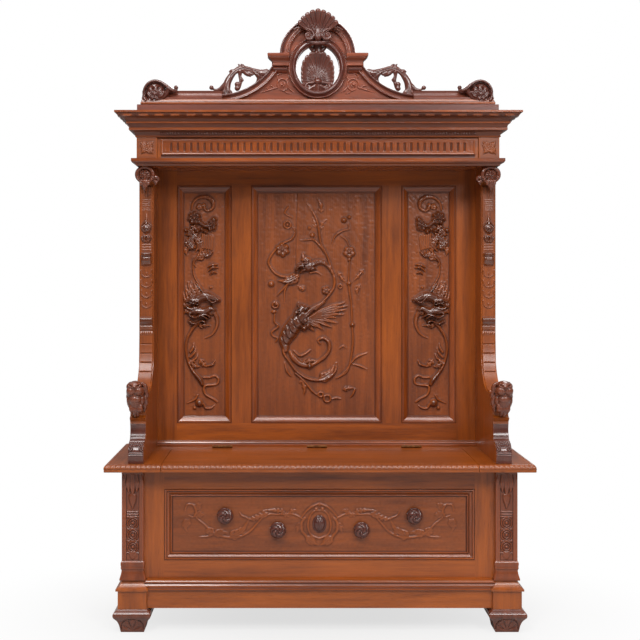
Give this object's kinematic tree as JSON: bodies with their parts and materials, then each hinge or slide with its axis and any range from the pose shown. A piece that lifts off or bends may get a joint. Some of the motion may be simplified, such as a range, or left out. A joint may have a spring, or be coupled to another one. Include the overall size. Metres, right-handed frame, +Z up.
{
  "type": "hall bench",
  "caption": "Tall carved walnut hall bench: lidded storage seat, panelled back between winged sides, deep cornice and a pierced shell crest.",
  "frame": {"origin": "on the floor, at the middle of the bench's box", "axes": "+Z up, -Y towards the sitter, +X to the right seen from the front"},
  "size_m": [1.37, 0.46, 2.0556],
  "materials": {
    "walnut": "shellac-polished walnut",
    "seat": "shellac-polished walnut, worn along the nosing",
    "panel": "shellac-polished walnut, darker carved field",
    "carving": "dark polished carved walnut",
    "secondary_wood": "plain oiled hardwood, unpolished",
    "hinge_brass": "aged brass",
    "screw_steel": "dull steel"
  },
  "bodies": {
    "bench": {"architrave_moulding": "walnut", "arm_lions": "carving", "back_base_moulding": "walnut", "back_bottom_rail": "walnut", "back_centre_moulding": "walnut", "back_centre_panel": "panel", "back_feet": "secondary_wood", "back_muntins": "walnut", "back_side_mouldings": "walnut", "back_side_panels": "panel", "back_stiles": "walnut", "back_top_rail": "walnut", "base_moulding": "walnut", "chest_back_board": "secondary_wood", "chest_bottom_board": "secondary_wood", "chest_carved_bosses": "carving", "chest_front_panel": "panel", "chest_front_rails": "walnut", "chest_front_stiles": "walnut", "chest_panel_moulding": "walnut", "chest_side_panels": "walnut", "chest_side_rails": "walnut", "cornice_boards": "secondary_wood", "cornice_lions": "carving", "crest_arch_and_ears": "walnut", "crest_board": "walnut", "crest_braces": "secondary_wood", "crest_end_rails": "walnut", "crest_end_volutes": "carving", "crest_inner_shell": "carving", "crest_leaf_scrolls": "carving", "crest_nosing": "walnut", "crest_plinth": "walnut", "crest_ring": "walnut", "crest_swan_necks": "walnut", "crest_top_shell": "carving", "crown_moulding": "walnut", "frieze_boards": "walnut", "frieze_corner_blocks": "walnut", "frieze_fluted_band": "walnut", "front_feet": "walnut", "front_posts": "walnut", "hinge_pins": "hinge_brass", "hinge_seat_leaves": "hinge_brass", "hinge_seat_screws": "screw_steel", "plinth_back_rail": "secondary_wood", "plinth_blocks": "walnut", "plinth_front_rail": "walnut", "plinth_side_rails": "walnut", "rear_posts": "secondary_wood", "seat_back_board": "seat", "seat_bearers": "secondary_wood", "seat_end_boards": "seat", "wing_carved_strips": "walnut", "wing_left": "walnut", "wing_right": "walnut"},
    "lid": {"seat_lid": "seat", "lid_battens": "secondary_wood", "hinge_lid_leaves": "hinge_brass", "hinge_lid_screws": "screw_steel"}
  },
  "joints": [
    {"name": "lid_hinge", "type": "hinge", "parent": "bench", "child": "lid", "pos_m": [0, 0.131, 0.5479], "axis": [-1, 0, 0], "range_deg": [0, 95]}
  ]
}
